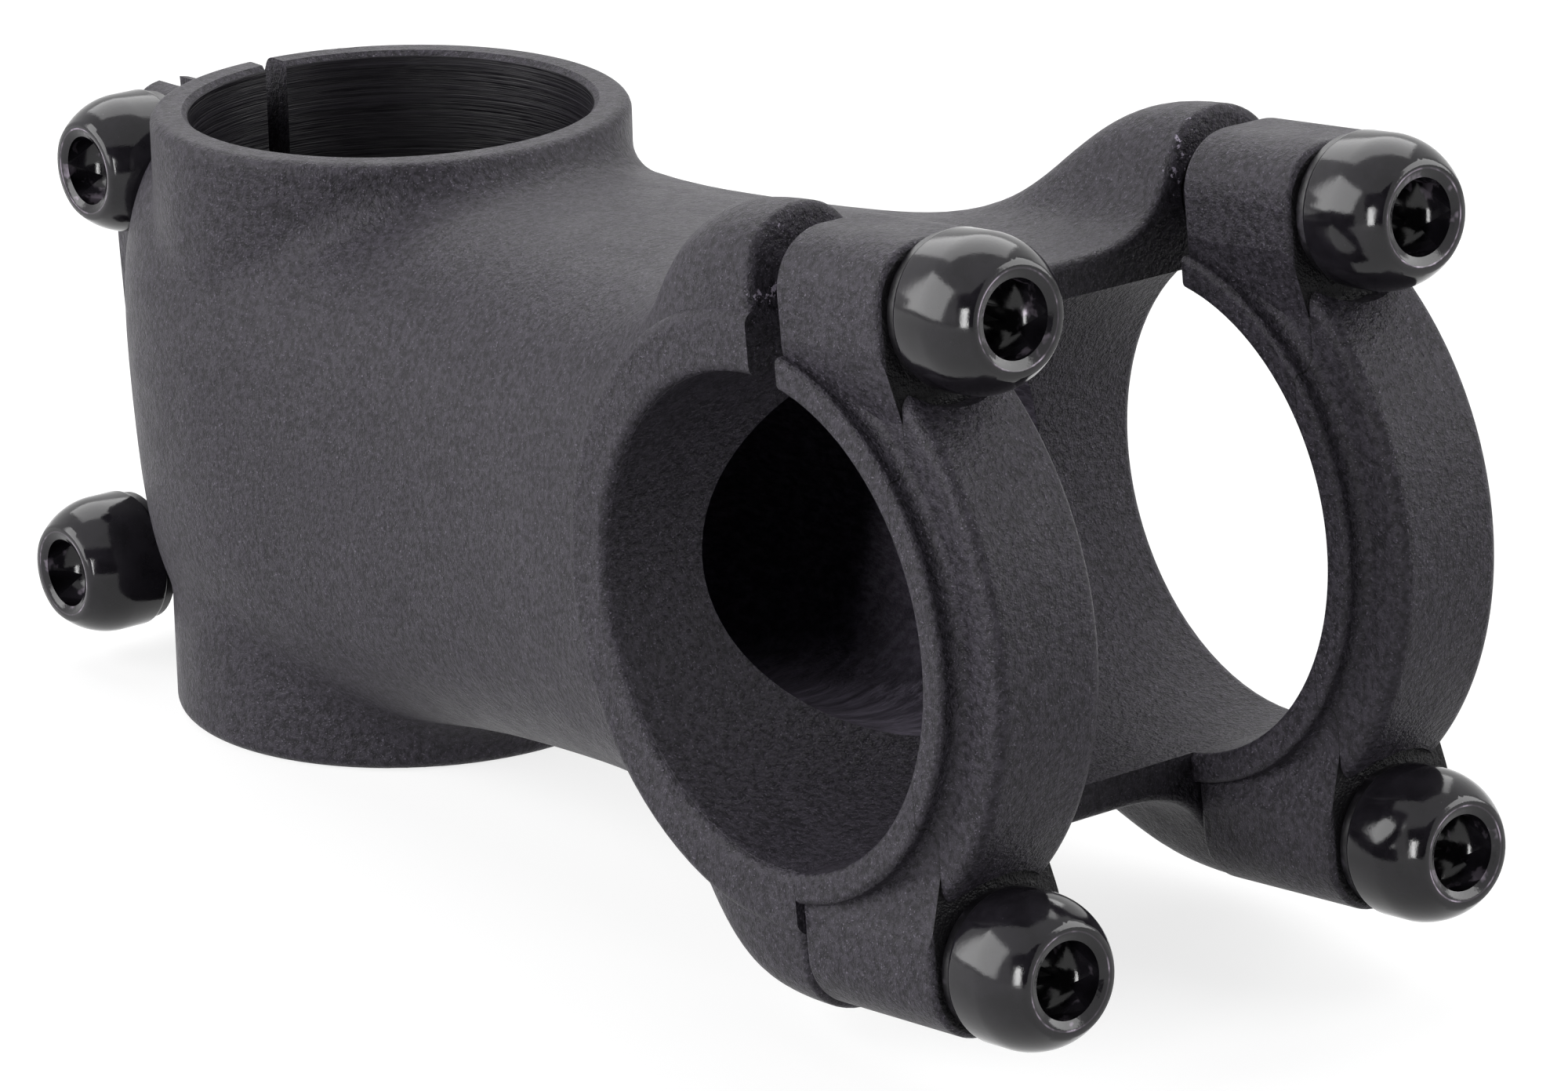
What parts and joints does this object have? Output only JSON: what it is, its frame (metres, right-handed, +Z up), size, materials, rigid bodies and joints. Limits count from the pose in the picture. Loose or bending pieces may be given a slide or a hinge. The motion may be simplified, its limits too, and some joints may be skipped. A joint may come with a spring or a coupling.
{
  "type": "handlebar stem",
  "caption": "Threadless bicycle handlebar stem with a slotted steerer clamp and two separate bolted bar clamp bands.",
  "frame": {"origin": "on the steerer axis at the bottom face of the steerer clamp", "axes": "+X forward from the steerer to the handlebar, +Y to the rider's left, +Z up along the steerer axis"},
  "size_m": [0.1213, 0.0444, 0.0555],
  "materials": {
    "body_black": "matte bead-blasted black paint on aluminium",
    "plate_black": "matte bead-blasted black paint on aluminium",
    "bolt_black": "gloss black coated steel",
    "washer_black": "satin black coated steel"
  },
  "bodies": {
    "stem": {"stem_body": "body_black"},
    "plate_right": {"face_plate_right": "plate_black"},
    "plate_left": {"face_plate_left": "plate_black"},
    "washer_right_upper": {"washer_right_upper": "washer_black"},
    "bolt_right_upper": {"bolt_right_upper": "bolt_black"},
    "washer_right_lower": {"washer_right_lower": "washer_black"},
    "bolt_right_lower": {"bolt_right_lower": "bolt_black"},
    "washer_left_upper": {"washer_left_upper": "washer_black"},
    "bolt_left_upper": {"bolt_left_upper": "bolt_black"},
    "washer_left_lower": {"washer_left_lower": "washer_black"},
    "bolt_left_lower": {"bolt_left_lower": "bolt_black"},
    "washer_steerer_upper": {"washer_steerer_upper": "washer_black"},
    "bolt_steerer_upper": {"bolt_steerer_upper": "bolt_black"},
    "washer_steerer_lower": {"washer_steerer_lower": "washer_black"},
    "bolt_steerer_lower": {"bolt_steerer_lower": "bolt_black"}
  },
  "joints": [
    {"name": "plate_right_slide", "type": "slide", "parent": "stem", "child": "plate_right", "axis": [0.9945, 0, 0.1045], "range_m": [0, 0.03]},
    {"name": "plate_left_slide", "type": "slide", "parent": "stem", "child": "plate_left", "axis": [0.9945, 0, 0.1045], "range_m": [0, 0.03]},
    {"name": "washer_right_upper_slide", "type": "slide", "parent": "plate_right", "child": "washer_right_upper", "axis": [0.9945, 0, 0.1045], "range_m": [0, 0.012]},
    {"name": "bolt_right_upper_turn", "type": "hinge", "parent": "washer_right_upper", "child": "bolt_right_upper", "pos_m": [0.08218, -0.01645, 0.0502], "axis": [0.9945, 0, 0.1045], "range_deg": [-5, 4325]},
    {"name": "washer_right_lower_slide", "type": "slide", "parent": "plate_right", "child": "washer_right_lower", "axis": [0.9945, 0, 0.1045], "range_m": [0, 0.012]},
    {"name": "bolt_right_lower_turn", "type": "hinge", "parent": "washer_right_lower", "child": "bolt_right_lower", "pos_m": [0.08649, -0.01645, 0.00923], "axis": [0.9945, 0, 0.1045], "range_deg": [-5, 4325]},
    {"name": "washer_left_upper_slide", "type": "slide", "parent": "plate_left", "child": "washer_left_upper", "axis": [0.9945, 0, 0.1045], "range_m": [0, 0.012]},
    {"name": "bolt_left_upper_turn", "type": "hinge", "parent": "washer_left_upper", "child": "bolt_left_upper", "pos_m": [0.08218, 0.01645, 0.0502], "axis": [0.9945, 0, 0.1045], "range_deg": [-5, 4325]},
    {"name": "washer_left_lower_slide", "type": "slide", "parent": "plate_left", "child": "washer_left_lower", "axis": [0.9945, 0, 0.1045], "range_m": [0, 0.012]},
    {"name": "bolt_left_lower_turn", "type": "hinge", "parent": "washer_left_lower", "child": "bolt_left_lower", "pos_m": [0.08649, 0.01645, 0.00923], "axis": [0.9945, 0, 0.1045], "range_deg": [-5, 4325]},
    {"name": "washer_steerer_upper_slide", "type": "slide", "parent": "stem", "child": "washer_steerer_upper", "axis": [0, -1, 0], "range_m": [0, 0.012]},
    {"name": "bolt_steerer_upper_turn", "type": "hinge", "parent": "washer_steerer_upper", "child": "bolt_steerer_upper", "pos_m": [-0.0213, -0.00562, 0.0368], "axis": [0, -1, 0], "range_deg": [-5, 4325]},
    {"name": "washer_steerer_lower_slide", "type": "slide", "parent": "stem", "child": "washer_steerer_lower", "axis": [0, -1, 0], "range_m": [-0.0029, 0.012]},
    {"name": "bolt_steerer_lower_turn", "type": "hinge", "parent": "washer_steerer_lower", "child": "bolt_steerer_lower", "pos_m": [-0.0213, -0.00922, 0.0071], "axis": [0, -1, 0], "range_deg": [-1049, 4325]}
  ],
  "couplings": [
    {"joint": "bolt_right_upper_turn", "follows": "washer_right_upper_slide", "rad_per_m": 6283.2},
    {"joint": "bolt_right_lower_turn", "follows": "washer_right_lower_slide", "rad_per_m": 6283.2},
    {"joint": "bolt_left_upper_turn", "follows": "washer_left_upper_slide", "rad_per_m": 6283.2},
    {"joint": "bolt_left_lower_turn", "follows": "washer_left_lower_slide", "rad_per_m": 6283.2},
    {"joint": "bolt_steerer_upper_turn", "follows": "washer_steerer_upper_slide", "rad_per_m": 6283.2},
    {"joint": "bolt_steerer_lower_turn", "follows": "washer_steerer_lower_slide", "rad_per_m": 6283.2}
  ]
}
